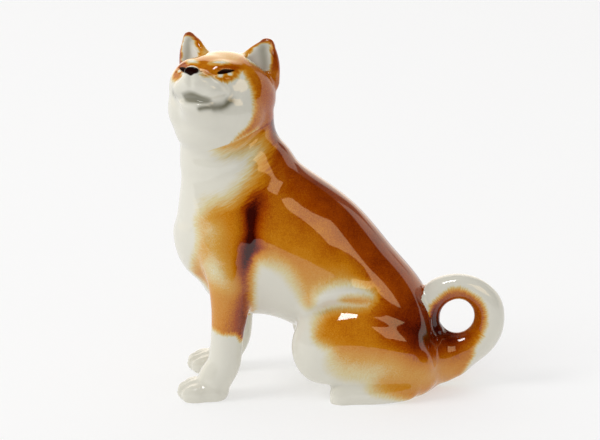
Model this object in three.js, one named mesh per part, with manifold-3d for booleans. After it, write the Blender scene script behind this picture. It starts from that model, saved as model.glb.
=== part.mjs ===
// A seated spitz dog in glazed porcelain, as the separate slip castings that are stuck up into one
// figure before it is fired. Millimetres, +Z up. The dog sits facing -X and its left side faces -Y.
import * as THREE from 'three';
import { mergeVertices } from 'three/addons/utils/BufferGeometryUtils.js';
import Module from 'manifold-3d';

const wasm = await Module();
wasm.setup();

// Driving dimensions.
const WALL = 3.2; // wall of the hollow castings
const SLIP_GAP = 0.3; // room for the slip between two castings
const VENT_RADIUS = 2.5; // hole under the seat that lets the kiln gas out
const LEG_STANCE = 14.6; // centre line of a foreleg from the middle of the body
const RIGHT_FORELEG_BACK = 2.6; // the right foreleg stands this much further back
const RIGHT_EAR_LIFT = 1.6; // the right ear stands this much taller, and half as much further out
const HAUNCH_STANCE = 15.5;
const HIND_FOOT_STANCE = 18;
const TAIL_HOLE_RADIUS = 5.8;
const TAIL_STRETCH = 1.04; // the curl is a little taller than wide
const TAIL_TIP_ASIDE = -5; // the tip lies this far to the left of the root
const FAR = 200; // reach of the boxes that trim a casting flat

// ---- Form helpers -------------------------------------------------------------------------------

// One station of a lofted form: its centre, its half-depth in the plane that the spine bends in, and
// its half-width across that plane.
function station(x, y, z, deep, wide) {
  return { centre: new THREE.Vector3(x, y, z), deep, wide };
}

// A round-ended body along a smooth spine through the stations, grown all over by `grow`. The rings
// of a sphere are laid along the spine, so both ends close in a pole.
function loft(stations, { sides = 20, steps = 3, capRings = 3, grow = 0, across = [0, 1, 0] } = {}) {
  const spine = new THREE.CatmullRomCurve3(stations.map((s) => s.centre));
  const sizes = new THREE.CatmullRomCurve3(stations.map((s) => new THREE.Vector3(s.deep, s.wide, 0)));
  const bodyRings = (stations.length - 1) * steps;
  const rings = bodyRings + 2 * capRings;
  const geometry = new THREE.SphereGeometry(1, sides, rings);
  const vertices = geometry.attributes.position;
  const acrossAxis = new THREE.Vector3(...across);
  for (let ring = 0; ring <= rings; ring++) {
    const t = THREE.MathUtils.clamp((ring - capRings) / bodyRings, 0, 1);
    const intoCap = Math.max(capRings - ring, ring - capRings - bodyRings, 0) / capRings;
    const shrink = Math.cos((intoCap * Math.PI) / 2);
    const reach = Math.sin((intoCap * Math.PI) / 2) * (ring < capRings ? -1 : 1);
    const along = spine.getTangent(t);
    const side = acrossAxis.clone().addScaledVector(along, -acrossAxis.dot(along)).normalize();
    const face = new THREE.Vector3().crossVectors(side, along);
    const size = sizes.getPoint(t);
    const deep = size.x + grow;
    const wide = size.y + grow;
    for (let column = 0; column <= sides; column++) {
      const angle = ((column % sides) / sides) * 2 * Math.PI;
      const point = spine.getPoint(t);
      point.addScaledVector(along, (reach * (deep + wide)) / 2);
      point.addScaledVector(face, deep * shrink * Math.cos(angle));
      point.addScaledVector(side, -wide * shrink * Math.sin(angle));
      vertices.setXYZ(ring * (sides + 1) + column, point.x, point.y, point.z);
    }
  }
  return solidOf(geometry);
}

function ellipsoid([x, y, z], [rx, ry, rz], { sides = 20, grow = 0 } = {}) {
  const geometry = new THREE.SphereGeometry(1, sides, Math.round(sides * 0.6));
  geometry.scale(rx + grow, ry + grow, rz + grow);
  return solidOf(geometry.translate(x, y, z));
}

// A closed three.js geometry as a solid that can be joined and cut.
function solidOf(geometry) {
  const bare = new THREE.BufferGeometry();
  bare.setAttribute('position', geometry.attributes.position);
  bare.setIndex(geometry.index);
  const merged = mergeVertices(bare, 1e-4);
  const vertProperties = merged.attributes.position.array;
  const triVerts = new Uint32Array(merged.index.array);
  return new wasm.Manifold(new wasm.Mesh({ numProp: 3, vertProperties, triVerts }));
}

function join(...solids) {
  return solids.reduce((joined, next) => joined.add(next));
}

// All that lies on the side of a plane that its normal points to.
function halfSpace(point, normal) {
  const box = new THREE.BoxGeometry(2 * FAR, 2 * FAR, 2 * FAR).translate(0, 0, FAR);
  const turn = new THREE.Quaternion().setFromUnitVectors(new THREE.Vector3(0, 0, 1), normal);
  return solidOf(box.applyQuaternion(turn).translate(point.x, point.y, point.z));
}

const aboveFloor = halfSpace(new THREE.Vector3(), new THREE.Vector3(0, 0, 1));

function mesh(name, solid, colour) {
  const { vertProperties, triVerts } = solid.getMesh();
  const geometry = new THREE.BufferGeometry();
  geometry.setAttribute('position', new THREE.BufferAttribute(vertProperties, 3));
  geometry.setIndex(new THREE.BufferAttribute(triVerts, 1));
  geometry.computeVertexNormals();
  const glaze = new THREE.MeshStandardMaterial({ color: colour, roughness: 0.12, metalness: 0 });
  const made = new THREE.Mesh(geometry, glaze);
  made.name = name;
  return made;
}

// ---- Torso --------------------------------------------------------------------------------------

// Neck and chest stand upright, and the body runs down from the shoulders to the seat.
function torsoForm(grow, detail = { sides: 24, steps: 2 }) {
  const neck = loft(
    [
      station(-35, 0, 92, 15, 14),
      station(-35, 0, 85, 15.4, 14.2),
      station(-34, 0, 78, 17, 14.8),
      station(-31.6, 0, 70, 19.8, 16.2),
      station(-29.2, 0, 59, 23, 18.4),
      station(-29.2, 0, 50, 23.8, 18.6),
      station(-29.6, 0, 44, 20.6, 17),
    ],
    { ...detail, grow },
  );
  const body = loft(
    [
      station(-24.4, 0, 51.4, 26.6, 20.4),
      station(-9, 0, 43.6, 23.4, 20),
      station(4, 0, 33, 20, 19),
      station(14.6, 0, 22.2, 18.2, 19.5),
      station(20.6, 0, 11, 15.4, 19),
    ],
    { ...detail, grow },
  );
  return join(neck, body);
}

// The seam where the head is stuck to the neck, low at the throat and high at the nape.
const neckSeam = { point: new THREE.Vector3(-35.5, 0, 84), up: new THREE.Vector3(-0.36, 0, 0.93).normalize() };

const hollowDetail = { sides: 14, steps: 2, capRings: 2 };

function torsoCasting() {
  const top = neckSeam.point.clone().addScaledVector(neckSeam.up, -SLIP_GAP / 2);
  const belowNeck = halfSpace(top, neckSeam.up.clone().negate());
  const vent = new THREE.CylinderGeometry(VENT_RADIUS, VENT_RADIUS, 30, 16);
  vent.rotateX(Math.PI / 2).translate(15, 0, 0);
  const aboveSeat = halfSpace(new THREE.Vector3(0, 0, WALL), new THREE.Vector3(0, 0, 1));
  const hollow = torsoForm(-WALL, hollowDetail).intersect(aboveSeat);
  return torsoForm(0).intersect(belowNeck).intersect(aboveFloor).subtract(hollow).subtract(solidOf(vent));
}

// ---- Head ---------------------------------------------------------------------------------------

// The head is built looking along -X with its centre at the origin, then turned and lifted.
const headPose = new THREE.Group();
headPose.position.set(-37.2, -1, 96.3);
headPose.rotation.set(
  THREE.MathUtils.degToRad(-3), // the left side is a little higher
  THREE.MathUtils.degToRad(26), // the chin is up
  THREE.MathUtils.degToRad(67), // the face is turned to the dog's left
  'ZYX',
);
headPose.updateMatrixWorld(true);

// A place in the head: forward to the nose, to the dog's left and up.
function inHead(forward, left, up) {
  return [-forward, -left, up];
}

function headForm(grow) {
  const muzzle = loft(
    [
      station(...inHead(8, 0, -0.5), 8, 9),
      station(...inHead(15, 0, -0.8), 6.6, 7.4),
      station(...inHead(20, 0, 0.4), 4.8, 5),
    ],
    { sides: 16, grow },
  );
  const jaw = loft(
    [
      station(...inHead(4, 0, -8), 6, 8),
      station(...inHead(11, 0, -7.8), 4.2, 6),
      station(...inHead(15.5, 0, -6.8), 2.8, 4.2),
    ],
    { sides: 14, grow },
  );
  return join(
    ellipsoid(inHead(-1.8, 0.8, 1.8), [16.5, 16.4, 13.6], { sides: 22, grow }),
    ellipsoid(inHead(1, 5.5, -4.5), [13, 10.5, 11], { sides: 18, grow }),
    ellipsoid(inHead(1, -5.5, -4.5), [13, 10.5, 11], { sides: 18, grow }),
    ellipsoid(inHead(-1, 0, -10), [14, 14, 10], { sides: 18, grow }),
    muzzle,
    jaw,
  );
}

function headCasting() {
  const bottom = neckSeam.point.clone().addScaledVector(neckSeam.up, SLIP_GAP / 2);
  const pose = headPose.matrixWorld.toArray();
  const aboveSeam = halfSpace(bottom, neckSeam.up);
  const nape = torsoForm(0).intersect(aboveSeam);
  const passage = torsoForm(-WALL, hollowDetail);
  const brain = ellipsoid(inHead(-1, 0, -1), [13, 12.5, 12], { sides: 14 }).transform(pose);
  return headForm(0).transform(pose).add(nape).intersect(aboveSeam).subtract(brain).subtract(passage);
}

// One ear, as a leaf that leans forward, with the cup on the side that faces forward.
function earCasting(side, lift) {
  const spread = new THREE.Vector3(...inHead(-7, 11 * side, -7.6)).normalize().toArray();
  const out = lift / 2;
  const leaf = loft(
    [
      station(...inHead(-3.6, 9.6 * side, 8.5), 3.4, 8.4),
      station(...inHead(-2.4, (11.4 + out) * side, 12.8 + lift / 2), 3, 6.8),
      station(...inHead(-1.4, (12.8 + out) * side, 16.4 + lift), 2.2, 4.6),
      station(...inHead(-0.8, (13.6 + out) * side, 18.6 + lift), 1.4, 2.6),
    ],
    { sides: 16, across: spread },
  );
  const cup = loft(
    [
      station(...inHead(-0.2, 11.4 * side, 10.2), 2, 5.4),
      station(...inHead(0.6, (12.6 + out) * side, 13.8 + lift / 2), 1.6, 4.2),
      station(...inHead(1, (13.5 + out) * side, 16.4 + lift), 1, 2.2),
    ],
    { sides: 12, steps: 2, capRings: 2, across: spread },
  );
  return leaf.subtract(cup).subtract(headForm(SLIP_GAP));
}

// ---- Legs ---------------------------------------------------------------------------------------

// The toes of one foot, side by side across Y, the middle ones furthest forward.
function toes(x, y, { spread, length, width, height }) {
  return join(
    ...[-1.5, -0.5, 0.5, 1.5].map((place) =>
      ellipsoid([x + 0.8 * place * place, y + place * spread, height * 0.4], [length, width, height * 0.6], { sides: 10 }),
    ),
  );
}

function forelegCasting(side, back) {
  const y = -LEG_STANCE * side;
  const leg = loft(
    [
      station(-26.5, y * 0.78, 63, 6.5, 5),
      station(-29, y * 0.92, 50, 9, 6),
      station(-31.8, y, 39, 8.2, 6.2),
      station(-34.2, y, 30, 6.3, 5.8),
      station(-35.2, y, 21, 5.1, 5),
      station(-36.4, y, 12, 5.2, 5),
      station(-39.5, y, 6, 5.6, 5.4),
    ],
    { sides: 16, steps: 2 },
  );
  const paw = loft([station(-38.4, y, 4.4, 5.4, 6.4), station(-45, y, 2.8, 4, 7)], { sides: 16 });
  const foot = join(leg, paw, toes(-48, y, { spread: 3, length: 4.2, width: 2.3, height: 5 }));
  return foot.intersect(aboveFloor).translate([back, 0, 0]).subtract(torsoForm(SLIP_GAP));
}

function hindLegCasting(side) {
  const y = -HAUNCH_STANCE * side;
  const footY = -HIND_FOOT_STANCE * side;
  const thigh = loft(
    [
      station(-3.6, y, 16.8, 13.2, 8.4),
      station(6, y, 17.4, 14, 9),
      station(16, y * 0.94, 14, 13, 9),
      station(23, y * 0.84, 10, 10, 8),
    ],
    { sides: 20, steps: 2 },
  );
  const foot = loft(
    [
      station(3, footY, 3, 3.4, 5),
      station(12, footY, 3.4, 4, 5),
      station(22, footY * 0.9, 4.4, 4.6, 6),
    ],
    { sides: 14, steps: 2 },
  );
  const front = toes(1, footY, { spread: 2.6, length: 3.4, width: 2, height: 6 });
  return join(thigh, foot, front).intersect(aboveFloor).subtract(torsoForm(SLIP_GAP));
}

// ---- Tail ---------------------------------------------------------------------------------------

// The tail leaves the rump, curls up, over and down until its tip lies on the back. The hole that
// it curls round is a true circle, so the ring's radius follows the tail's own thickness.
function tailCasting() {
  const centre = { x: 39.7, z: 24 };
  const turns = [
    { angle: -150, thick: 9.6 },
    { angle: -122, thick: 10 },
    { angle: -98, thick: 7.8 },
    { angle: -78, thick: 6 },
    { angle: -45, thick: 5.3 },
    { angle: -15, thick: 5 },
    { angle: 20, thick: 4.7 },
    { angle: 58, thick: 4.1 },
    { angle: 95, thick: 4 },
    { angle: 132, thick: 4.5 },
    { angle: 165, thick: 4.1 },
    { angle: 195, thick: 3 },
    { angle: 212, thick: 1.8 },
  ];
  const ring = turns.map(({ angle, thick }, i) => {
    const a = THREE.MathUtils.degToRad(angle);
    const r = TAIL_HOLE_RADIUS + thick;
    const aside = (TAIL_TIP_ASIDE * i) / (turns.length - 1);
    return station(centre.x + r * Math.cos(a), aside, centre.z + TAIL_STRETCH * r * Math.sin(a), thick, thick * 0.95);
  });
  return loft(ring, { sides: 16, steps: 2 }).subtract(torsoForm(SLIP_GAP)).intersect(aboveFloor);
}

// ---- Assembly -----------------------------------------------------------------------------------

const RUST = 0xa85f1c;
const WHITE = 0xe9e7df;

const figure = new THREE.Group();
headPose.add(mesh('left_ear', earCasting(1, 0), RUST), mesh('right_ear', earCasting(-1, RIGHT_EAR_LIFT), RUST));
figure.add(
  mesh('torso', torsoCasting(), RUST),
  mesh('head', headCasting(), WHITE),
  headPose,
  mesh('left_foreleg', forelegCasting(1, 0), WHITE),
  mesh('right_foreleg', forelegCasting(-1, RIGHT_FORELEG_BACK), WHITE),
  mesh('left_hind_leg', hindLegCasting(1), RUST),
  mesh('right_hind_leg', hindLegCasting(-1), RUST),
  mesh('tail', tailCasting(), WHITE),
);

// The origin lies under the middle of the figure, on the surface it stands on.
const extent = new THREE.Box3().setFromObject(figure, true);
const middle = extent.getCenter(new THREE.Vector3());
figure.position.set(-middle.x, -middle.y, -extent.min.z);

export default figure;
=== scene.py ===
"""A seated spitz dog in glazed porcelain: the fine surface of its castings, their underglaze paint and
clear glaze, and the table-top studio that it stands in. The castings, their places and sizes are the
frame's. Lengths in this file are millimetres, in the frame's own axes, until they become a mesh."""
import math

import bpy
import numpy as np
from bpy.props import FloatProperty, FloatVectorProperty, PointerProperty
from mathutils import Euler, Matrix, Vector
from mathutils.bvhtree import BVHTree


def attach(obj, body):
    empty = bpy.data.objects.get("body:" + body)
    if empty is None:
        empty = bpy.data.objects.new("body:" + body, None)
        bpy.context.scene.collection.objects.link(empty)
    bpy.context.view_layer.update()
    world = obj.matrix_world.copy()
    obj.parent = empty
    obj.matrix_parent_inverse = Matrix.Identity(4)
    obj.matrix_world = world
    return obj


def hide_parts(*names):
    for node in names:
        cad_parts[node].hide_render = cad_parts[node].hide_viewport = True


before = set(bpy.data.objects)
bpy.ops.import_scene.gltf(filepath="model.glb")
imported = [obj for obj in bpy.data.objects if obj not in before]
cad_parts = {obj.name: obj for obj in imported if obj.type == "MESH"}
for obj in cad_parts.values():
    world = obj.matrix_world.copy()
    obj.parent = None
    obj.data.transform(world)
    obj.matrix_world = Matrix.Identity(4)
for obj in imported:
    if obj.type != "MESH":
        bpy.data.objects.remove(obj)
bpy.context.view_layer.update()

bl_info = {
    "name": "Porcelain Spitz Figurine",
    "version": (1, 0, 0),
    "blender": (4, 5, 0),
    "location": "View3D > Sidebar > Figurine",
    "description": "Models, paints and glazes a seated porcelain dog on its frame",
    "category": "Object",
}

MM = 0.001
BODY = "root"

# ---- Driving sizes ------------------------------------------------------------------------------

CENTRE_X = -0.59  # where the figure's own zero lies along the frame
SKIN = 0.45  # distance between the points of the modelled skin
LEG_STANCE = 14.6  # centre line of a foreleg from the middle of the body
RIGHT_FORELEG_BACK = 2.6  # the right foreleg stands this much further back
HAUNCH_STANCE = 15.5
HIND_FOOT_STANCE = 18.0
TAIL_HOLE = 5.5  # radius of the hole through the curl
TAIL_CENTRE = (39.7, 24.0)  # how far back and how high the hole is
TAIL_STRETCH = 1.04  # the curl's height over its length
TAIL_TIP_ASIDE = -5.0  # the tip lies this far to the left
TAIL_TURNS = [  # half the tail's thickness at each angle round its hole, in degrees
    (-150, 9.6), (-122, 10.2), (-98, 8), (-78, 6.2), (-45, 5.4), (-15, 5.1), (20, 4.8),
    (58, 4.2), (95, 4.1), (132, 4.5), (165, 4.1), (195, 3), (212, 1.8),
]
RIGHT_EAR_LIFT = 1.6  # the right ear stands this much higher
VENT = (15.0, 2.5, 6.0)  # how far back the vent hole is, its radius and depth
BARE_FOOT = 0.05  # faces below this height have no glaze

HEAD_CENTRE = (-37.2, -1.0, 96.3)
HEAD_TURN = (-3.0, 26.0, 67.0)  # tilt, chin up and turn to the left, in degrees
NECK_SEAM = ((-35.5, 0.0, 84.0), (-0.36, 0.0, 0.93))  # where the head is cut off, and the cut's upright

CAMERA_AIM = (-11.7, 0.0, 55.6)
CAMERA_ABOVE = 15.0  # degrees over the table
CAMERA_AWAY = 0.7  # metres
VIEW_WIDTH = 195.0  # what the camera takes in from side to side, at the figure
SENSOR_WIDTH = 36.0


def to_frame(places):
    """Places measured on the figure, in the frame."""
    return np.array(places, float) + np.array((CENTRE_X, 0.0, 0.0))


def head_matrix():
    """Turns a place in the head, whose axes are back, right and up, to a place on the figure."""
    tilt, chin, turn = (math.radians(a) for a in HEAD_TURN)
    turning = Matrix.Rotation(turn, 4, "Z") @ Matrix.Rotation(chin, 4, "Y") @ Matrix.Rotation(tilt, 4, "X")
    return Matrix.Translation(HEAD_CENTRE) @ turning


HEAD = np.array(head_matrix())


def in_head(forward, left, up):
    """A place in the head as a place on the figure."""
    return tuple((HEAD @ np.array((-forward, -left, up, 1.0)))[:3])


def on_head(points):
    return [in_head(*point) for point in points]


def foreleg_back(side):
    return 0 if side > 0 else RIGHT_FORELEG_BACK


def ear_lift(side):
    return 0 if side > 0 else RIGHT_EAR_LIFT


# ---- Clay: primitives shaped into limbs ---------------------------------------------------------


def deselect():
    for obj in bpy.context.selected_objects:
        obj.select_set(False)


def activate(obj):
    deselect()
    obj.select_set(True)
    bpy.context.view_layer.objects.active = obj


def get_points(obj):
    points = np.empty(len(obj.data.vertices) * 3)
    obj.data.vertices.foreach_get("co", points)
    return points.reshape(-1, 3) / MM


def set_points(obj, points):
    obj.data.vertices.foreach_set("co", (points * MM).ravel())
    obj.data.update()


def cubic(p0, p1, p2, p3, u):
    """A smooth curve from p1 to p2, bent by the knots before and after them."""
    square = 2 * p0 - 5 * p1 + 4 * p2 - p3
    cube = 3 * p1 - p0 - 3 * p2 + p3
    return 0.5 * (2 * p1 + (p2 - p0) * u + square * u**2 + cube * u**3)


def spline(knots, t):
    """A smooth curve through evenly spaced knots, at each t from 0 to 1."""
    knots = np.array(knots, float)
    padded = np.vstack([2 * knots[0] - knots[1], knots, 2 * knots[-1] - knots[-2]])
    place = np.clip(t, 0, 1) * (len(knots) - 1)
    first = np.minimum(place.astype(int), len(knots) - 2)
    return cubic(*(padded[first + k] for k in range(4)), (place - first)[:, None])


def new_sphere(rings):
    """A sphere to be shaped, and its points on a radius of 1."""
    deselect()
    bpy.ops.mesh.primitive_uv_sphere_add(segments=48, ring_count=rings, radius=1)
    obj = bpy.context.object
    return obj, get_points(obj) * MM


def put_clay(obj, points, turn):
    """Gives a lump its shape, which is in the head's axes where a turn is given."""
    if turn is not None:
        points = points @ turn[:3, :3].T + turn[:3, 3]
    set_points(obj, to_frame(points))
    return obj


RINGS_A_STRETCH = 8
CAP_RINGS = 12
SPINE_STEP = 1e-3  # how far apart along the spine its direction is taken


def limb(stations, across=(0, 1, 0), turn=None):
    """A round-ended limb: a sphere whose rings are drawn out along a spine. Each station is the centre,
    the half-depth in the plane that the spine bends in, and the half-width across it."""
    body_rings = (len(stations) - 1) * RINGS_A_STRETCH
    rings = body_rings + 2 * CAP_RINGS
    obj, unit = new_sphere(rings)
    ring = np.arccos(np.clip(unit[:, 2], -1, 1)) / math.pi * rings
    angle = np.arctan2(unit[:, 1], unit[:, 0])
    t = np.clip((ring - CAP_RINGS) / body_rings, 0, 1)
    into_cap = np.maximum(np.maximum(CAP_RINGS - ring, ring - CAP_RINGS - body_rings), 0) / CAP_RINGS
    shrink = np.cos(into_cap * math.pi / 2)
    reach = np.sin(into_cap * math.pi / 2) * np.where(ring < CAP_RINGS, -1, 1)
    centres = [station[:3] for station in stations]
    sizes = spline([station[3:5] for station in stations], t)
    along = spline(centres, np.minimum(t + SPINE_STEP, 1)) - spline(centres, np.maximum(t - SPINE_STEP, 0))
    along /= np.linalg.norm(along, axis=1, keepdims=True)
    side = np.array(across, float) - along * (along @ np.array(across, float))[:, None]
    side /= np.linalg.norm(side, axis=1, keepdims=True)
    face = np.cross(side, along)
    points = spline(centres, t) + along * (reach * sizes.sum(1) / 2)[:, None]
    points += face * (sizes[:, 0] * shrink * np.cos(angle))[:, None]
    points -= side * (sizes[:, 1] * shrink * np.sin(angle))[:, None]
    return put_clay(obj, points, turn)


def ball(centre, radii, lean=(0, 0, 0), turn=None):
    """An egg of clay, leant by angles in degrees."""
    obj, unit = new_sphere(32)
    leaning = np.array(Euler([math.radians(a) for a in lean]).to_matrix())
    return put_clay(obj, (unit * np.array(radii)) @ leaning.T + np.array(centre, float), turn)


def head_ball(forward, left, up, radii, lean=(0, 0, 0)):
    return ball((-forward, -left, up), radii, lean, HEAD)


def apply_modifier(obj, kind, **settings):
    activate(obj)
    modifier = obj.modifiers.new(kind.title(), kind)
    for key, value in settings.items():
        setattr(modifier, key, value)
    bpy.ops.object.modifier_apply(modifier=modifier.name)


def knead(pieces, name, voxel, smoothing):
    """Joins lumps of clay into one skin with filleted joins."""
    deselect()
    for piece in pieces:
        piece.select_set(True)
    bpy.context.view_layer.objects.active = pieces[0]
    if len(pieces) > 1:
        bpy.ops.object.join()
    obj = bpy.context.object
    obj.name = name
    apply_modifier(obj, "REMESH", mode="VOXEL", voxel_size=voxel * MM)
    if smoothing:
        apply_modifier(obj, "SMOOTH", factor=0.5, iterations=smoothing)
    return obj


# ---- The figure's masses ------------------------------------------------------------------------

BOTH = (1, -1)  # left and right
TOE_PITCH = 3.1  # from one toe of a forepaw to the next
HIND_TOE_PITCH = 2.4


def trunk_clay():
    neck = [
        (-35, 0, 92, 15, 14),
        (-35, 0, 85, 15.4, 14.2),
        (-34, 0, 78, 17, 14.8),
        (-31.6, 0, 70, 19.8, 16.2),
        (-29.2, 0, 59, 23.2, 18.2),
        (-28.4, 0, 51, 24.4, 18.2),
        (-25.5, 0, 43, 20.5, 16.6),
    ]
    body = [
        (-24.4, 0, 51.4, 26.6, 19.6),
        (-9, 0, 43.6, 23.4, 19.6),
        (4, 0, 33, 20, 19),
        (14.6, 0, 22.2, 18.2, 19.5),
        (20.6, 0, 11, 15.4, 19),
    ]
    seat = [
        (17, 0, 11, 14, 18.6),
        (24.5, 0, 10, 12.6, 16.8),
        (31, 0, 10, 10.8, 13.4),
        (37, 0, 10.8, 8.4, 9.6),
        (43, -0.6, 12.6, 6.6, 6.8),
    ]
    lumps = [limb(neck), limb(body), limb(seat)]
    for side in BOTH:
        y = -side
        lumps.append(ball((-37, 8.4 * y, 56), (9, 9.2, 15), lean=(0, -14, 0)))
        lumps.append(ball((22.4, 8 * y, 7.4), (11.8, 11.6, 9.8)))
        lumps.append(ball((16, 11 * y, 16), (14, 11.5, 13)))
        lumps += upper_foreleg_clay(side) + thigh_clay(side) + hind_foot_clay(side)
    lumps.append(limb(tail_stations()[:4]))
    return knead(lumps, "trunk", 0.8, 26)


def foreleg_places(side, stations):
    """Foreleg stations, given for a left leg whose stance is 1, on the side that they are for."""
    y = -LEG_STANCE * side
    return [(x + foreleg_back(side), y * out, *rest) for x, out, *rest in stations]


def upper_foreleg_clay(side):
    return [limb(foreleg_places(side, [
        (-37, 0.74, 60, 8, 5.4),
        (-36, 0.9, 50, 8.6, 6),
        (-34.6, 1, 40, 7, 6.4),
        (-34.2, 1, 30, 6.3, 5.8),
        (-35.2, 1, 21, 5.3, 5),
    ]))]


def foreleg_clay(side):
    leg = [
        (-34.2, 1, 30, 6.1, 5.7),
        (-35.2, 1, 21, 5.3, 5),
        (-36.2, 1, 12, 5.4, 5),
        (-39.2, 1, 6.4, 5.6, 5.4),
    ]
    paw = [(-39.8, 1, 2.4, 4.4, 6), (-45, 1, 2.4, 4.2, 6.6)]
    lumps = [limb(foreleg_places(side, leg)), limb(foreleg_places(side, paw))]
    for place in (-1.5, -0.5, 0.5, 1.5):
        x = -47.4 + 0.75 * place**2 + foreleg_back(side) * 0.7
        lumps.append(ball((x, -LEG_STANCE * side + place * TOE_PITCH, 2.2), (4.6, 2.3, 3.3)))
    return lumps


def thigh_clay(side):
    y = -HAUNCH_STANCE * side
    return [limb([
        (-4.2, y, 17.4, 12.6, 8.4),
        (6, y, 17.6, 13.6, 8.8),
        (16, y * 0.94, 14.4, 13, 8.6),
        (23, y * 0.84, 10, 10, 8),
    ])]


def hind_foot_clay(side):
    y = -HIND_FOOT_STANCE * side
    foot = [(3.6, y, 2.6, 4.4, 5.4), (12, y, 3, 4.6, 5.6), (22, y * 0.9, 4, 4.6, 6)]
    return [limb(foot)]


def hind_toe_clay(side):
    return [ball((2.2, -HIND_FOOT_STANCE * side + aside, 1.6), (4.6, 3.6, 5)) for aside in (1.6, -1.6)]


def round_tail_hole(angle, radius):
    """How far back and how high a place round the tail's hole is."""
    a = math.radians(angle)
    return TAIL_CENTRE[0] + radius * math.cos(a), TAIL_CENTRE[1] + TAIL_STRETCH * radius * math.sin(a)


def tail_stations():
    stations = []
    for i, (angle, thick) in enumerate(TAIL_TURNS):
        thick += 0.15
        x, z = round_tail_hole(angle, TAIL_HOLE + thick)
        aside = TAIL_TIP_ASIDE * i / (len(TAIL_TURNS) - 1)
        stations.append((x, aside, z, thick, thick * 0.95))
    return stations


def head_clay():
    muzzle = [(-6, 0, -1, 8.6, 12), (-13, 0, -1, 6.8, 8.8), (-19.2, 0, -0.5, 4.3, 5.6)]
    jaw = [(-4, 0, -8, 7.4, 11), (-11, 0, -7.8, 5.4, 8.4), (-16, 0, -7, 3.6, 6)]
    lumps = [
        head_ball(-1.8, 0.8, 1.8, (16.5, 16.4, 13.6)),
        head_ball(1, 5.5, -4.5, (13, 10.5, 11)),
        head_ball(1.4, -5.6, -4.2, (13, 10.2, 10.8)),
        head_ball(5, -6, 1.6, (11.4, 8.8, 9)),
        head_ball(-1, 0, -10, (14, 14, 10)),
        head_ball(4, -0.6, 2.6, (13.4, 13.4, 10)),
        limb(muzzle, turn=HEAD),
        limb(jaw, turn=HEAD),
    ]
    for side in BOTH:
        lumps.append(head_ball(14.6, 4.4 * side, -2.2, (7.2, 4.8, 4)))
    return knead(lumps, "skull", 0.6, 18)


def ear_turn(side):
    """How far up and out an ear stands past its fellow, and the axis that its width lies along."""
    lift = ear_lift(side)
    spread = np.array((7, -11 * side, -7.6))
    return lift, lift / 2, spread / np.linalg.norm(spread)


def ear_clay(side):
    lift, out, spread = ear_turn(side)
    leaf = [
        (3.6, -9.6 * side, 8.5, 3.6, 8.4),
        (2.4, -(11.4 + out) * side, 12.8 + lift / 2, 3, 6.8),
        (1.4, -(12.8 + out) * side, 16.4 + lift, 2.2, 4.6),
        (0.8, -(13.6 + out) * side, 18.6 + lift, 1.4, 2.6),
    ]
    return [limb(leaf, across=spread, turn=HEAD)]


def ear_cup(side):
    """The hollow of an ear, as a cutter."""
    lift, out, spread = ear_turn(side)
    cup = [
        (-0.6, -11.2 * side, 10.2, 1.8, 4.4),
        (-1, -(12.2 + out) * side, 13 + lift / 2, 1.7, 3.9),
        (-1.2, -(13.1 + out) * side, 15.8 + lift, 1.1, 2.2),
    ]
    return limb(cup, across=spread, turn=HEAD)


def mouth_cutter():
    """The opening between the lips, as a cutter that follows them round from corner to corner."""
    lips = [
        (-13.4, -9.6, -2.4, 0.5, 1),
        (-16.8, -7.8, -4.8, 0.8, 1.4),
        (-19.8, -4.6, -6.1, 1.1, 2),
        (-21.8, -0.6, -5.6, 1.5, 2.6),
        (-20.8, 3.8, -5.5, 1.3, 2.2),
        (-17.6, 7.4, -5, 0.8, 1.5),
        (-14.6, 9.6, -4.1, 0.5, 1),
    ]
    return limb(lips, across=(-1, 0, 0.1), turn=HEAD)


def boolean(obj, cutter, operation):
    apply_modifier(obj, "BOOLEAN", operation=operation, solver="MANIFOLD", object=cutter)


def drop(*objects):
    for obj in objects:
        bpy.data.objects.remove(obj)


def block(low, high):
    """A block of the figure's space between two corners, as a cutter."""
    deselect()
    middle = [(a + b) / 2 for a, b in zip(low, high)]
    bpy.ops.mesh.primitive_cube_add(size=1)
    obj = bpy.context.object
    obj.scale = [(b - a) * MM for a, b in zip(low, high)]
    obj.location = (to_frame(middle) * MM).tolist()
    bpy.ops.object.transform_apply(location=True, rotation=True, scale=True)
    return obj


def block_above(point, normal, reach):
    """A block whose bottom lies on a plane."""
    deselect()
    bpy.ops.mesh.primitive_cube_add(size=reach * MM)
    obj = bpy.context.object
    upright = Vector(normal).normalized()
    obj.rotation_euler = upright.to_track_quat("Z", "Y").to_euler()
    obj.location = Vector(to_frame(point)) * MM + upright * (reach * MM / 2)
    bpy.ops.object.transform_apply(location=True, rotation=True, scale=True)
    return obj


# ---- Modelling strokes --------------------------------------------------------------------------


def distance_to_line(points, line):
    """How far each point is from a line of straight stretches, and how far along it its foot is."""
    line = np.array(line, float)
    best = np.full(len(points), np.inf)
    where = np.zeros(len(points))
    for i in range(len(line) - 1):
        a, b = line[i], line[i + 1]
        span = b - a
        t = np.clip((points - a) @ span / (span @ span), 0, 1)
        gap = np.linalg.norm(points - a - t[:, None] * span, axis=1)
        nearer = gap < best
        best = np.where(nearer, gap, best)
        where = np.where(nearer, (i + t) / (len(line) - 1), where)
    return best, where


def mesh_normals(obj):
    normals = np.empty(len(obj.data.vertices) * 3)
    obj.data.vertex_normals.foreach_get("vector", normals)
    return normals.reshape(-1, 3)


def stroke(points, normals, line, width, height):
    """Presses (height below 0) or raises a rounded line in the clay, dying out at its ends."""
    gap, where = distance_to_line(points, line)
    profile = np.clip(1 - (gap / width) ** 2, 0, 1) ** 2
    profile *= np.sin(np.clip(where, 0, 1) * math.pi) ** 0.7
    points += normals * (height * profile)[:, None]


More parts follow.
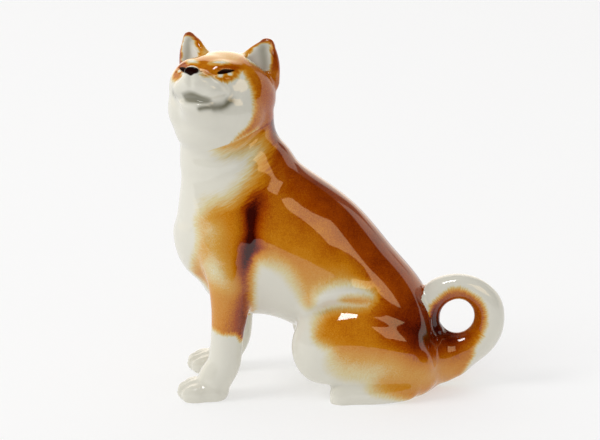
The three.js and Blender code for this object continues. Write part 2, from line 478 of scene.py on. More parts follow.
# Each is a line on the left side of the figure, which its right side mirrors, its half-width and its
# height: a throat fold, a collar fold, the groove behind the shoulder and its bottom, the shoulder, and
# the flank's fold and its groove.
BODY_STROKES = [
    ([
        (-50, 3, 79), (-43.4, -12, 79), (-37, -14.3, 79.6),
        (-30.7, -13.9, 82.6), (-25.7, -11.2, 86.5), (-21.9, -6.7, 89.7),
    ], 2.6, -0.6),
    ([
        (-50.6, 3, 71.6), (-43.5, -12.1, 71.8), (-36.4, -15, 73.4),
        (-30.7, -15, 75.8), (-25.5, -12.7, 79.9), (-21.9, -8.3, 84),
    ], 3.4, -0.45),
    ([
        (-26, -15.4, 70), (-27.3, -18.5, 61.3), (-27.5, -19.5, 55), (-27.5, -20.2, 46), (-28, -19, 36),
    ], 5.4, -1.3),
    ([(-27.2, -18, 63.5), (-27.4, -19.5, 57), (-27.5, -20.2, 46)], 2.4, -0.5),
    ([(-33, -14, 74), (-36.5, -18, 60), (-36.5, -19.5, 46)], 8, 0.7),
    ([
        (-12.6, -15, 24), (-9, -17.3, 31.1), (-5, -18.9, 35),
        (0, -19.1, 36.8), (4.6, -18.8, 37.2), (11.6, -18.2, 35),
    ], 4.6, 1.3),
    ([(-11, -17.5, 24), (-7, -18, 29.2), (-2.2, -18.9, 31.8), (3.1, -19, 32.2), (11, -18.9, 31)], 3.2, -0.6),
]
TOE_GROOVE = (1.6, -0.78)  # half-width and height
HIND_TOE_GROOVE = (1.5, -0.5)
# The same, in the head: the philtrum, the groove of the closed eye, its lower lid, the brow and the
# crease beside the muzzle.
HEAD_STROKES = [
    ([(24.6, 0, 2), (24, 0, -1.2), (23.2, 0, -4.4)], 1.5, -0.3),
    ([(17.6, 3.6, 3.5), (15.4, 7, 4.8), (12.6, 10, 5.8)], 1.5, -0.5),
    ([(17.4, 3.8, 1.6), (15, 7.3, 2.6), (12, 10.2, 3.6)], 1.8, 0.45),
    ([(16.4, 1.6, 6.4), (13.4, 6.6, 8), (9.6, 10.8, 8.4)], 3.2, 0.55),
    ([(21, 2.8, 4.2), (17.4, 4.6, 2.4), (15.4, 6, -0.6)], 2.2, -0.3),
]


def press_toes(points, normals, side):
    """Presses the grooves between the toes of one side's forepaw and hind foot."""
    back = foreleg_back(side)
    for place in (-1, 0, 1):
        y = -LEG_STANCE * side + place * TOE_PITCH
        tip = -51.5 + 0.6 * place**2 + back
        line = [(-44 + back, y, 6.6), (-48.5 + back, y, 5.6), (tip, y, 2), (-50 + back, y, 0)]
        stroke(points, normals, to_frame(line), *TOE_GROOVE)
        y = -HIND_FOOT_STANCE * side + place * HIND_TOE_PITCH
        line = [(2, y, 7), (-1.6, y, 5), (-2.6, y, 2), (-2, y, 0)]
        stroke(points, normals, to_frame(line), *HIND_TOE_GROOVE)


def figure_clay(fineness):
    """The whole figure in one skin, before it is cut into its castings."""
    lumps = [trunk_clay(), head_clay()]
    for side in BOTH:
        lumps += foreleg_clay(side) + hind_toe_clay(side) + ear_clay(side)
    lumps.append(limb(tail_stations()))
    lumps.append(head_ball(23.6, 0, 2.3, (1.5, 2.9, 1.9)))
    clay = knead(lumps, "figure_clay", fineness, 12)
    for hollow in (*(ear_cup(side) for side in BOTH), mouth_cutter()):
        boolean(clay, hollow, "DIFFERENCE")
        drop(hollow)
    apply_modifier(clay, "REMESH", mode="VOXEL", voxel_size=fineness * MM)
    apply_modifier(clay, "SMOOTH", factor=0.5, iterations=7)
    points = get_points(clay)
    normals = mesh_normals(clay)
    for side in BOTH:
        mirror = np.array((1, side, 1))
        for line, width, height in BODY_STROKES:
            stroke(points, normals, to_frame(line * mirror), width, height)
        for line, width, height in HEAD_STROKES:
            stroke(points, normals, to_frame(on_head(line * mirror)), width, height)
        press_toes(points, normals, side)
    ream_tail(points)
    set_points(clay, points)
    apply_modifier(clay, "SMOOTH", factor=0.5, iterations=5)
    floor = block((-200, -200, -60), (200, 200, 0))
    boolean(clay, floor, "DIFFERENCE")
    drop(floor)
    deselect()
    return clay


TAIL_WALL = 4.6  # radius of the rounded wall of the tail's hole
TAIL_WALL_ASIDE = -3.4  # where the middle of that wall lies, from left to right


def ream_tail(points):
    """Opens the ring of the tail to a clean round hole with a rounded wall."""
    centre = to_frame((TAIL_CENTRE[0], 0, TAIL_CENTRE[1]))
    aside = points[:, 1] - TAIL_WALL_ASIDE
    across = points[:, [0, 2]] - centre[[0, 2]]
    across[:, 1] /= TAIL_STRETCH
    far = np.linalg.norm(across, axis=1)
    needed = TAIL_HOLE + 0.1 + TAIL_WALL - np.sqrt(np.clip(TAIL_WALL**2 - aside**2, 0, None))
    short = (far < needed) & (np.abs(aside) < TAIL_WALL + 6) & (far > 1e-6)
    across[short] *= (np.minimum(needed, TAIL_HOLE + 3)[short] / far[short])[:, None].clip(1)
    across[:, 1] *= TAIL_STRETCH
    points[:, [0, 2]] = across + centre[[0, 2]]


# ---- Underglaze painting, painted shade and painted highlights ----------------------------------
# The paint is laid out in millimetres on three charts: the side of the body (how far back, how high),
# the head unrolled round its upright axis (degrees from the nose, height) and the face seen from its
# own front (to the left, up). Each outline is for the left side, and the right side mirrors it.

COAT = [  # the brown of the body, from the nape down its front edge, the belly, thigh and seat
    (-14, 97), (-22.4, 93), (-29, 88.6), (-36.4, 83.4), (-32, 83), (-26.6, 84), (-20.4, 85.4),
    (-22.4, 82), (-24.6, 78.4), (-25.6, 75), (-28.6, 70.6), (-33, 66.4), (-39, 64), (-42.4, 61.8),
    (-44.4, 58.6), (-43.6, 54.6), (-44, 50), (-46, 42), (-45, 28), (-40.6, 24.6), (-36.6, 22.9),
    (-32.4, 22.6), (-30, 19.6), (-27.4, 24), (-27.2, 36), (-27, 43.4), (-25.2, 48), (-20.2, 47.4),
    (-15.6, 44.6), (-12.8, 40.4), (-10.6, 36.6), (-9, 33), (-7.6, 36.6), (-4.8, 38.8), (0, 40.2),
    (5.6, 40), (9.8, 38.2), (12.4, 35.4), (9.6, 32), (3, 31.4), (-2, 30.4), (-4.4, 28.8), (-6.2, 26.2),
    (-6.6, 22.8), (-4, 20.6), (-1.6, 19), (-1.4, 14), (2, 10.6), (7, 10), (10.8, 8.4), (12, 5.4),
    (16.6, 3.6), (22, 1.4), (28, -2), (40, -6), (66, -6), (66, 97),
]
FOLD_TICK = [  # hair strokes on the flank's fold
    (1.4, 34.4), (3.8, 35.4), (9.4, 35), (12, 33.6), (9.5, 32.4), (4, 33),
]
TAIL_WHITE = [  # the white outside of the tail
    (26, 35.4), (27.2, 28.8), (29.6, 24.6), (30.8, 28.9), (33.1, 31.4), (36.2, 33.9), (39.7, 34.6),
    (43.9, 32.8), (47.8, 29.2), (49, 23.8), (47.8, 18.5), (45.4, 14.3), (45, 11.4), (43.4, 8.2),
    (43, 2), (64, 2), (64, 46), (25, 46),
]
HEAD_COAT = [  # the brown of the head, on the unrolled chart
    (-14, 4.4), (0, 4.3), (4, 3.5), (7, 2.3), (9, 0.9), (12, 2.4), (18, 1.2), (24, 1.3), (32, 2.4),
    (37, 4), (42, 6.6), (48, 4.4), (53, 2.4), (58, -0.4), (61, -3.5), (62, -6.8), (61, -10.2),
    (54, -13.4), (47, -16.4), (40, -19.6), (40, -30), (190, -30), (190, 34), (-14, 34),
]
BROW = [(1.6, 6.9), (4, 8.7), (7, 8.3), (5.2, 6.8)]
EYE = [(5, 4.1), (6.1, 5.4), (7.6, 5.9), (9.2, 6), (8.2, 4.8), (6.6, 3.8), (5.5, 3.5)]
# painted highlights: two glints under each eye, left as bare white dots in the brown
PAINTED_EYE_GLINTS = [(6.3, 3.1, 0.8), (8.4, 4.4, 0.7)]  # bare white dots under the eye: place and radius
NOSE = [
    (0, 3.3), (1.8, 3.1), (2.5, 2.5), (2.2, 1.5), (1.2, 1.1),
    (0, 0.6), (-1.2, 1.1), (-2.2, 1.5), (-2.5, 2.5), (-1.8, 3.1),
]
# painted shade on the face chart: the grey inside the open mouth, the dark crease under its near corner and
# the dark of its far corner
MOUTH_SHADE = [
    (0, -3.9), (3, -4.7), (5.2, -5.2), (4.4, -6.4), (1.6, -7), (-1, -7), (-3, -6.2), (-4, -4.6), (-2.6, -4),
]
LIP_CREASE_SHADE = [(9.6, -4.2), (8.2, -5.9), (5.6, -7.6), (2.2, -8.7)]
FAR_CORNER_SHADE = [(9.6, -2.3), (8, -3.6)]
EAR_CUP = [
    (8.3, 13.2), (9.9, 16.4), (12.2, 18.1), (14.3, 18.5), (15.3, 17),
    (15.5, 13.3), (15.3, 11), (14.4, 9.4), (12.2, 10), (9.4, 11.4),
]
MM_A_DEGREE = 0.244  # how wide a degree of the unrolled head is
NO_INK = -9.0  # far outside any ink

# How thickly the colour lies: a base, then strokes on the side chart (line, half-width, more or less).
COAT_BASE = 0.6
HEAD_BASE = 0.62
COAT_DEPTHS = [
    ([(-20, 92), (-18, 84), (-9, 74), (5, 60), (24, 36), (30, 22)], 9, 0.2),
    ([(-22, 86), (-24, 76), (-26, 66)], 6, 0.14),
    # darker along the groove behind the shoulder, its bottom and down the back of the foreleg
    ([(-26.6, 67), (-27.2, 57), (-28, 47)], 4.4, 0.2),
    ([(-27.3, 62), (-27.3, 54)], 2.2, 0.26),
    ([(-27.6, 50), (-28.4, 40), (-29.2, 32), (-29.8, 22)], 4.4, 0.26),
    ([(18, 27), (27, 21), (36, 16.5)], 8, 0.2),
    ([(-39, 56), (-38.5, 42)], 6.5, -0.22),
    ([(-41, 46), (-36, 42.5), (-33, 39)], 5, -0.2),
    ([(-14, 68), (-2, 56), (10, 43)], 9, 0.06),
    ([(18, 6), (33, 4)], 6.5, 0.13),
    ([(1, 14), (17, 12)], 6, -0.13),
    ([(-40, 42), (-39.5, 26)], 5, -0.12),
    ([(-44, 60), (-42, 56)], 6, -0.2),
    ([(-16, 44), (-7, 40), (2, 41)], 7, -0.16),
    ([(-3, 13), (8, 11), (20, 8), (34, 5)], 9, -0.26),
]

# How soft the coat's edge is: everywhere, where the white of a foreleg begins, on the tail, and strokes
# along which it is softer.
COAT_FADE = 2.5
FORELEG_FADE = 1.1
TAIL_FADE = 1.2
COAT_FADES = [
    ([(-20, 48), (-9, 38), (-9, 30)], 5, 1.6),
    ([(-2, 12), (10, 9)], 8, 2.4),
    ([(-22, 47), (-15, 36)], 6, 1.6),
]


def closed_curve(outline, steps=3):
    """A smooth closed line through an outline's corners."""
    knots = np.array(outline, float)
    count = len(knots)
    corners = (np.roll(knots, shift, 0)[:, None] for shift in (1, 0, -1, -2))
    u = (np.arange(steps) / steps)[None, :, None]
    return cubic(*corners, u).reshape(count * steps, 2)


def chart_distance(x, y, outline, stretch=1.0):
    """How far inside an outline each place of a chart is, and how far round it the nearest edge lies."""
    line = closed_curve(outline) * np.array((stretch, 1))
    x = x * stretch
    best = np.full(len(x), np.inf)
    along = np.zeros(len(x))
    inside = np.zeros(len(x), bool)
    travelled = 0.0
    for a, b in zip(line, np.roll(line, -1, 0)):
        span = b - a
        length = math.hypot(*span)
        t = np.clip(((x - a[0]) * span[0] + (y - a[1]) * span[1]) / max(length**2, 1e-9), 0, 1)
        gap = np.hypot(x - a[0] - t * span[0], y - a[1] - t * span[1])
        nearer = gap < best
        best = np.where(nearer, gap, best)
        along = np.where(nearer, travelled + t * length, along)
        crosses = (a[1] > y) != (b[1] > y)
        if abs(span[1]) > 1e-9:
            inside ^= crosses & (x < a[0] + (y - a[1]) * span[0] / span[1])
        travelled += length
    return np.where(inside, best, -best), along


def chart_stroke(x, y, line, width):
    """A soft airbrush stroke on a chart, from 0 off it to 1 along its middle."""
    gap, _ = distance_to_line(np.column_stack([x, y]), line)
    return np.exp(-((gap / width) ** 2) * 1.6)


def airbrush(x, y, strokes):
    """What soft strokes on a chart add: each is a line, its half-width and how much it adds."""
    return sum(more * chart_stroke(x, y, line, width) for line, width, more in strokes)


def rising(value, start, span):
    """From 0 where a value is at its start to 1 a span further."""
    return np.clip((value - start) / span, 0, 1)


def tail_tube_gap(points):
    """How far each point is from the spine of the tail's last half turn."""
    spine = [round_tail_hole(angle, TAIL_HOLE + thick) for angle, thick in TAIL_TURNS if angle > 30]
    gap, _ = distance_to_line(points[:, [0, 2]], spine)
    return gap


def to_head(points):
    """Places on the figure as forward, left and up in the head."""
    local = (points - HEAD[:3, 3]) @ HEAD[:3, :3]
    return -local[:, 0], -local[:, 1], local[:, 2]


def over_neck_seam(points):
    """How far above the cut between head and neck each point is."""
    return (points - np.array(NECK_SEAM[0])) @ np.array(NECK_SEAM[1])


def faces_front(normals):
    return (normals @ HEAD[:3, :3])[:, 0] < 0.15


def paint_body(points, normals):
    """The coat of the body and the tail: how far inside its edge each point is, how soft that edge and how
    deep the colour is there, and where the brush hairs run."""
    x, y, z = points.T
    other_side = np.sign(y) * 9
    edge, along = chart_distance(x, z, COAT)
    tick, tick_along = chart_distance(x, z, FOLD_TICK)
    along = np.where(tick > edge, tick_along, along)
    edge = np.maximum(edge, tick - 0.4)
    # the chest, the inner sides of the forelegs and what faces down are white
    outer = np.abs(y) - 8.5 + np.maximum(0, z - 58) * 1.5 + np.maximum(0, x + 25) * 1.5
    edge = np.minimum(edge, outer)
    edge = np.minimum(edge, (normals[:, 2] + 0.82) * 10)
    # the white doesn't pass round the nape
    nape = np.minimum(9.5 - np.abs(y), x + 26)
    edge = np.where((z > 70) & (z < 96), np.maximum(edge, nape), edge)
    depth = COAT_BASE + airbrush(x, z, COAT_DEPTHS)
    fade = np.where((z < 28) & (x < -24), FORELEG_FADE, COAT_FADE) + airbrush(x, z, COAT_FADES)
    strand = np.column_stack([along, edge * 0.3, other_side])
    # the collar's long hairs lie down and back
    edge *= 1 - 0.55 * rising(z, 60, 6) * rising(-x, 14, 5)
    collar = (z > 62) & (x < -16)
    strand[collar] = np.column_stack([0.86 * z - 0.5 * x, (0.86 * x + 0.5 * z) * 0.12, other_side])[collar]
    # the tail
    white, round_tail = chart_distance(x, z, TAIL_WHITE)
    far = np.hypot(x - TAIL_CENTRE[0], (z - TAIL_CENTRE[1]) / TAIL_STRETCH)
    at_tip = (tail_tube_gap(points) < 4.9) & (np.abs(y + 4) < 5.4)
    on_tail = (x > 25.5) & ((x > 31.5) | at_tip)
    edge = np.where(on_tail, np.minimum(edge, -white), edge)
    strand[on_tail] = np.column_stack([round_tail, white * 0.2, other_side])[on_tail]
    fade = np.where(on_tail, TAIL_FADE, fade)
    depth = np.where(on_tail, depth + 0.1 * np.exp(-((far - 7) / 2) ** 2), depth)
    return edge, fade, depth, strand


def paint_head(points, normals):
    """The same, for the coat of the head and the ears."""
    forward, left, up = to_head(points)
    side = np.abs(left)
    round_head = np.degrees(np.arctan2(side, forward + 2))
    # the right cheek is white further back
    further = np.where(left < 0, 13 * rising(-up, -3, 4), 0)
    edge, along = chart_distance(round_head - further, up, HEAD_COAT, stretch=MM_A_DEGREE)
    edge = np.minimum(edge, over_neck_seam(points) - 0.4 + np.maximum(0, points[:, 0] + 25) * 2)
    behind = (round_head - 82 - np.clip(-up, 0, 12)) * MM_A_DEGREE
    right_cheek = np.maximum(np.maximum((35 - round_head) * MM_A_DEGREE, up - 5.4), behind)
    edge = np.where(left < 0, np.minimum(edge, right_cheek), edge)
    face = forward > 6
    brow, _ = chart_distance(side, up, BROW)
    edge = np.where(face, np.minimum(edge, -brow), edge)
    # the painted highlights under the eye are kept white
    for place, height, radius in PAINTED_EYE_GLINTS:
        glint = (np.hypot(side - place, up - height) - radius) * 2
        edge = np.where(face, np.minimum(edge, glint), edge)
    depth = HEAD_BASE + 0.14 * chart_stroke(side, up, [(4, 6.2), (9, 6.8)], 1.4) * face
    depth += 0.1 * chart_stroke(points[:, 0], points[:, 2], [(-20, 92), (-22, 100)], 5)
    # the forehead is only lightly sprayed
    depth -= 0.3 * rising(up, 7.6, 3) * rising(-side, -11, 4) * rising(forward, -6, 6)
    fade = np.where(round_head < 45, 0.7, 1.3)
    strand = np.column_stack([along, edge * 0.25, np.sign(left) * 9])
    # the ears
    lift = np.where(left < 0, RIGHT_EAR_LIFT, 0)
    ear = rising(up, 9.5, 2) * (side > 8)
    rise = rising(up, 8, 8)
    cup, _ = chart_distance(side - lift / 2 * rise, up - lift * rise, EAR_CUP)
    front = faces_front(normals)
    in_ear = (ear > 0) & front & (forward < 6)
    edge = np.where(in_ear, np.minimum(edge, -cup), edge)
    depth += 0.14 * ear * np.where(front, 1, 0.35)
    fade = np.where(in_ear, 0.6, fade)
    return edge, fade, depth, strand


def paint_face(points, normals):
    """The black of the eyes and nose, and the grey-green painted shade inside the mouth, in the lip crease
    and in the ears' cups.
    """
    forward, left, up = to_head(points)
    side = np.abs(left)
    eye, _ = chart_distance(side, up, EYE)
    nose, _ = chart_distance(left, up, NOSE)
    ink = np.where(forward > 6, np.maximum(eye, nose), NO_INK)
    # painted shade: grey inside the open mouth
    mouth, _ = chart_distance(left, up, MOUTH_SHADE)
    painted_shade = rising(mouth, -0.5, 1) * 0.8
    # painted shade in the lip crease under the near mouth corner and at the far corner
    crease = np.maximum(chart_stroke(left, up, LIP_CREASE_SHADE, 0.8), chart_stroke(left, up, LIP_CREASE_SHADE[:3], 1.25))
    painted_shade = np.maximum(painted_shade, np.maximum(crease, chart_stroke(-left, up, FAR_CORNER_SHADE, 1.1)))
    painted_shade = np.where(forward > 9, painted_shade, 0)
    # painted shade in the hollow of each ear's cup
    lift = np.where(left < 0, RIGHT_EAR_LIFT, 0)
    cup = chart_stroke(side - lift / 2, up - lift, [(13.4, 11), (12.6, 17)], 2.2)
    painted_shade += 0.6 * cup * (forward < 6) * (up > 9) * faces_front(normals)
    return ink, painted_shade


def paint_casting(obj):
    """Lays the paint on a casting as attributes that its glaze reads."""
    points = get_points(obj) - to_frame((0, 0, 0))
    normals = mesh_normals(obj)
    layers = dict(zip(("edge", "fade", "depth", "strand"), paint_body(points, normals)))
    layers["ink"] = np.full(len(points), NO_INK)
    layers["painted_shade"] = np.zeros(len(points))
    in_head_casting = over_neck_seam(points) > 0
    if in_head_casting.any():
        head = (*paint_head(points, normals), *paint_face(points, normals))
        for name, values in zip(layers, head):
            layers[name][in_head_casting] = values[in_head_casting]
    strand = layers.pop("strand")
    for name, values in layers.items():
        layer = obj.data.attributes.new(name, "FLOAT", "POINT")
        layer.data.foreach_set("value", values.astype(np.float32))
    layer = obj.data.attributes.new("strand", "FLOAT_VECTOR", "POINT")
    layer.data.foreach_set("vector", strand.astype(np.float32).ravel())


# ---- Finishes -----------------------------------------------------------------------------------


def linear(hex_colour):
    """An sRGB hex colour as the linear values that shaders use."""
    channels = [int(hex_colour[i:i + 2], 16) / 255 for i in (1, 3, 5)]
    return tuple(c / 12.92 if c <= 0.04045 else ((c + 0.055) / 1.055) ** 2.4 for c in channels)


def add_node(tree, kind, sockets=None, **settings):
    """Adds a node, sets it, and fills its sockets with values or links other nodes' outputs to them. A
    node on its own stands for its first output."""
    made = tree.nodes.new(kind)
    for name, value in settings.items():
        setattr(made, name, value)
    for name, value in (sockets or {}).items():
        if isinstance(value, bpy.types.Node):
            value = value.outputs[0]
        if isinstance(value, bpy.types.NodeSocket):
            tree.links.new(value, made.inputs[name])
        else:
            made.inputs[name].default_value = value
    return made


def new_material(name):
    material = bpy.data.materials.new(name)
    material.use_nodes = True
    material.node_tree.nodes.clear()
    return material, material.node_tree


HAIR_SPREAD = 2.1  # from the shortest hair to the longest, in hair reaches
PALETTE = (  # the tone of the glazed colour, from a bare body to the thickest coat
    (0.0, "porcelain"), (0.12, "cream"), (0.34, "tan"), (0.56, "ochre"), (0.74, "rust"),
    (0.9, "umber"), (1.0, "burnt"),
)


def glazed_porcelain(settings):
    """Hard-paste porcelain, airbrushed and hand brushed with iron-oxide underglaze colours and fired
    under a clear glaze: smooth and mirror-like, with the paint's fine speckle deep under the gloss. Its
    colour also holds painted shade in the mouth, the lip crease and the ears' cups."""
    if "glazed_porcelain" in bpy.data.materials:
        return bpy.data.materials["glazed_porcelain"]
    material, tree = new_material("glazed_porcelain")
    paint = {}
    for name in ("edge", "fade", "depth", "ink", "painted_shade", "strand"):
        output = "Vector" if name == "strand" else "Fac"
        paint[name] = add_node(tree, "ShaderNodeAttribute", attribute_name=name).outputs[output]
    place = add_node(tree, "ShaderNodeTexCoord").outputs["Object"]
    # brush hairs are about 0.5 mm apart, drawn as long streaks across the edge of the coat
    hairs = add_node(
        tree, "ShaderNodeTexNoise",
        {"Vector": paint["strand"], "Scale": 1.9, "Detail": 4.0, "Roughness": 0.66},
    )
    reach = settings.hair_reach / MM * HAIR_SPREAD
    stray = add_node(
        tree, "ShaderNodeMapRange", {"Value": hairs, "To Min": -reach / 2, "To Max": reach / 2}, clamp=False
    )
    ragged = add_node(tree, "ShaderNodeMath", {0: paint["edge"], 1: stray}, operation="ADD")
    inside = add_node(tree, "ShaderNodeMath", {0: ragged, 1: paint["fade"]}, operation="DIVIDE")
    cover = add_node(
        tree, "ShaderNodeMapRange", {"Value": inside, "From Min": -1.05, "From Max": 1.15},
        interpolation_type="SMOOTHSTEP",
    )
    # airbrushed colour lies in soft clouds about 8 mm across, and its droplets are 0.4 mm
    clouds = add_node(tree, "ShaderNodeTexNoise", {"Vector": place, "Scale": 120.0, "Detail": 2.0})
    droplets = add_node(
        tree, "ShaderNodeTexNoise", {"Vector": place, "Scale": 2600.0, "Detail": 2.0, "Roughness": 0.7}
    )
    amount = paint["depth"]
    for noise, share in ((clouds, 0.2), (hairs, 0.12), (droplets, 0.32)):
        stray = add_node(
            tree, "ShaderNodeMapRange",
            {"Value": noise, "To Min": -share / 2, "To Max": share / 2}, clamp=False,
        )
        amount = add_node(tree, "ShaderNodeMath", {0: amount, 1: stray}, operation="ADD")
    amount = add_node(tree, "ShaderNodeMath", {0: amount, 1: cover}, operation="MULTIPLY", use_clamp=True)
    ramp = add_node(tree, "ShaderNodeValToRGB", {"Fac": amount})
    stops = ramp.color_ramp.elements
    while len(stops) < len(PALETTE):
        stops.new(0.5)
    for stop, (position, tone) in zip(stops, PALETTE):
        stop.position = position
        stop.color = (*getattr(settings, tone), 1)
    # the painted shade of the mouth, the lip crease and the ears' cups, mixed over the coat
    with_painted_shade = add_node(
        tree, "ShaderNodeMix",
        {"Factor": paint["painted_shade"], "A": ramp, "B": (*settings.painted_shade, 1)}, data_type="RGBA",
    ).outputs["Result"]
    inked = add_node(tree, "ShaderNodeMapRange", {"Value": paint["ink"], "From Min": -0.16, "From Max": 0.16})
    colour = add_node(
        tree, "ShaderNodeMix", {"Factor": inked, "A": with_painted_shade, "B": (*settings.ink, 1)}, data_type="RGBA"
    ).outputs["Result"]
    # the glaze flows out nearly flat: waves 5 mm long and 15 microns high
    waves = add_node(tree, "ShaderNodeTexNoise", {"Vector": place, "Scale": 200.0, "Detail": 1.0})
    bump = add_node(tree, "ShaderNodeBump", {"Height": waves, "Strength": 0.25, "Distance": 0.00006})
    # the thick black of the eyes and nose sinks the glaze over it, and mirrors less
    mirror = add_node(tree, "ShaderNodeMapRange", {"Value": inked, "To Min": 0.5, "To Max": 0.03})
    shader = add_node(tree, "ShaderNodeBsdfPrincipled", {
        "Base Color": colour, "Roughness": 0.045, "IOR": 1.55, "Specular IOR Level": mirror, "Normal": bump,
    })
    add_node(tree, "ShaderNodeOutputMaterial", {"Surface": shader})
    return material


def biscuit_porcelain():
    """The bare fired foot that the glaze is wiped from, so that the figure doesn't stick in the kiln:
    dry, matt and a little grainy."""
    if "biscuit_porcelain" in bpy.data.materials:
        return bpy.data.materials["biscuit_porcelain"]
    material, tree = new_material("biscuit_porcelain")
    place = add_node(tree, "ShaderNodeTexCoord").outputs["Object"]
    # grains of half a millimetre
    grain = add_node(tree, "ShaderNodeTexNoise", {"Vector": place, "Scale": 1800.0, "Detail": 3.0})
    ramp = add_node(tree, "ShaderNodeValToRGB", {"Fac": grain})
    for stop, tone in zip(ramp.color_ramp.elements, ("#CFC8B8", "#E6E0D2")):
        stop.color = (*linear(tone), 1)
    bump = add_node(tree, "ShaderNodeBump", {"Height": grain, "Strength": 0.5, "Distance": 0.0001})
    shader = add_node(
        tree, "ShaderNodeBsdfPrincipled", {"Base Color": ramp, "Roughness": 0.75, "IOR": 1.5, "Normal": bump}
    )
    add_node(tree, "ShaderNodeOutputMaterial", {"Surface": shader})
    return material


# ---- Castings -----------------------------------------------------------------------------------


def copy_of(obj, name):
    twin = obj.copy()
    twin.data = obj.data.copy()
    twin.name = name
    twin.data.name = name
    bpy.context.scene.collection.objects.link(twin)
    return twin


def remaining_clay():
    """What is left of the figure's clay after the castings so far are cut from it."""
    if "figure_clay" not in bpy.data.objects:
        raise RuntimeError("the figure is modelled before its castings are cut")
    return bpy.data.objects["figure_clay"]


STILL_SMOOTH = 0.9  # cosine between a corner's shading and its face, below which it is at a cut
SAME_SURFACE = 0.02  # a point this near the uncut skin lies on it
SAME_WAY = 0.8  # cosine between a face and the skin that it came from


def smooth_as_one(piece):
    """Takes the piece's shading from the uncut figure, so that no light shows where two castings meet."""
    skin = UNCUT_SKIN
    mesh = piece.data
    mesh.shade_smooth()
    corners = np.empty(len(mesh.loops) * 3, np.float32)
    mesh.corner_normals.foreach_get("vector", corners)
    corners = corners.reshape(-1, 3)
    owners = np.empty(len(mesh.loops), np.int64)
    mesh.loops.foreach_get("vertex_index", owners)
    points = get_points(piece) * MM
    facing = np.empty(len(mesh.polygons) * 3, np.float32)
    mesh.polygons.foreach_get("normal", facing)
    facing = facing.reshape(-1, 3)
    totals = np.empty(len(mesh.polygons), np.int64)
    mesh.polygons.foreach_get("loop_total", totals)
    of_face = np.repeat(np.arange(len(totals)), totals)
    smooth_here = np.einsum("ij,ij->i", corners, facing[of_face]) > STILL_SMOOTH
    rough = np.unique(owners[~smooth_here])
    at_cut = np.zeros(len(points), bool)
    at_cut[rough] = True
    found = {}
    for index in np.nonzero(at_cut)[0]:
        spot, _, triangle, gap = skin["tree"].find_nearest(Vector(points[index]))
        if spot is None or gap > SAME_SURFACE * MM:
            continue
        corner_ids = skin["triangles"][triangle]
        weights = barycentric(spot, *(Vector(skin["points"][c]) for c in corner_ids))
        normal = sum((Vector(skin["normals"][c]) * w for c, w in zip(corner_ids, weights)), Vector())
        found[index] = normal.normalized()
    flat = facing[of_face]
    wanted = corners.copy()
    for loop in np.nonzero(at_cut[owners])[0]:
        skin_normal = found.get(owners[loop])
        own = flat[loop]
        if skin_normal is not None and skin_normal.dot(Vector(own)) > SAME_WAY:
            wanted[loop] = skin_normal
        else:
            wanted[loop] = own
    mesh.normals_split_custom_set([tuple(n) for n in wanted])


def barycentric(point, a, b, c):
    ab, ac, ap = b - a, c - a, point - a
    d00, d01, d11 = ab.dot(ab), ab.dot(ac), ac.dot(ac)
    d20, d21 = ap.dot(ab), ap.dot(ac)
    area = d00 * d11 - d01 * d01
    if abs(area) < 1e-30:
        return (1, 0, 0)
    v = (d11 * d20 - d01 * d21) / area
    w = (d00 * d21 - d01 * d20) / area
    return (1 - v - w, v, w)


UNCUT_SKIN = {}


def remember_skin(clay):
    """Keeps the uncut figure's surface, for smooth_as_one."""
    clay.data.calc_loop_triangles()
    corners = np.empty(len(clay.data.loop_triangles) * 3, np.int64)
    clay.data.loop_triangles.foreach_get("vertices", corners)
    UNCUT_SKIN["triangles"] = corners.reshape(-1, 3).tolist()
    UNCUT_SKIN["points"] = (get_points(clay) * MM).tolist()
    UNCUT_SKIN["normals"] = mesh_normals(clay).tolist()
    UNCUT_SKIN["tree"] = BVHTree.FromPolygons(UNCUT_SKIN["points"], UNCUT_SKIN["triangles"])


SIDES = ((1, "left"), (-1, "right"))


def cut_casting(node, cutter):
    piece = copy_of(remaining_clay(), node + "_casting")
    boolean(piece, cutter, "INTERSECT")
    boolean(remaining_clay(), cutter, "DIFFERENCE")
    drop(cutter)
    dress(piece, node)


def dress(piece, node):
    mesh = piece.data
    if len(mesh.polygons) == 0:
        raise RuntimeError(node + " came out empty")
    paint_casting(piece)
    mesh.materials.clear()
    mesh.materials.append(glazed_porcelain(bpy.context.scene.figurine))
    mesh.materials.append(biscuit_porcelain())
    middles = np.empty(len(mesh.polygons) * 3, np.float32)
    mesh.polygons.foreach_get("center", middles)
    bare = middles.reshape(-1, 3)[:, 2] < BARE_FOOT * MM
    mesh.polygons.foreach_set("material_index", bare.astype(np.int32))
    smooth_as_one(piece)
    deselect()
    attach(piece, BODY)
    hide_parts(node)


def y_range(side, near, far):
    return (-far, -near) if side > 0 else (near, far)


# ---- The maker's settings and steps -------------------------------------------------------------


def colour_property(name, description, hex_colour):
    return FloatVectorProperty(
        name=name, description=description, default=linear(hex_colour), subtype="COLOR", size=3, min=0, max=1
    )


